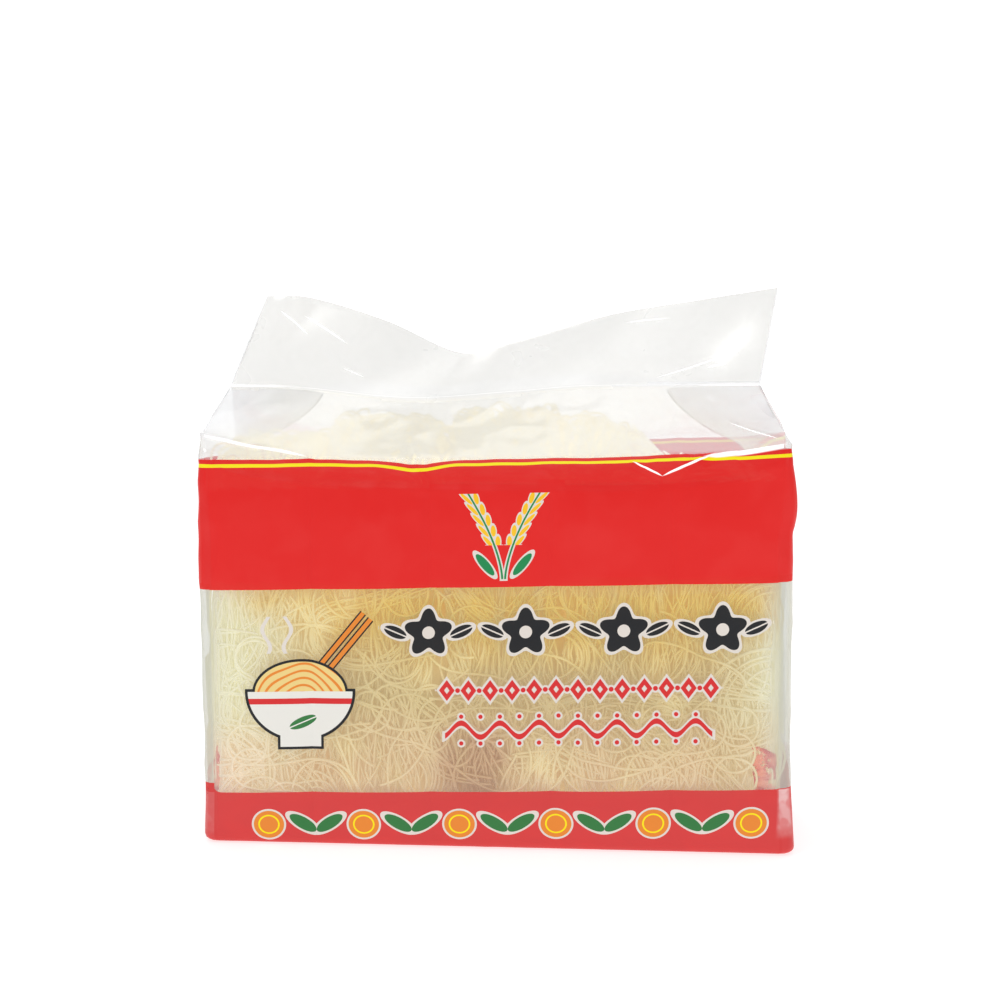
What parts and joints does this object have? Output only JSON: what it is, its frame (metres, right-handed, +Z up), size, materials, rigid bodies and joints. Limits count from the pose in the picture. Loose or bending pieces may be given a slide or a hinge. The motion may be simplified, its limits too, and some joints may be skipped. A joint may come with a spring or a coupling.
{
  "type": "sealed clear bag of dried rice vermicelli",
  "caption": "Clear gusseted food bag standing on its base, filled with folded bundles of dried rice vermicelli, with red printed bands and a sealed fin on top.",
  "frame": {"origin": "centre of the bag's box, on the surface it stands on", "axes": "+X across the front to the right, the printed front faces -Y, +Z up"},
  "size_m": [0.2472, 0.0928, 0.2308],
  "materials": {
    "film": "clear glossy film with printed red bands",
    "noodles": "dry, slightly translucent"
  },
  "bodies": {
    "root": {"sealed_bag": "film"}
  },
  "joints": []
}
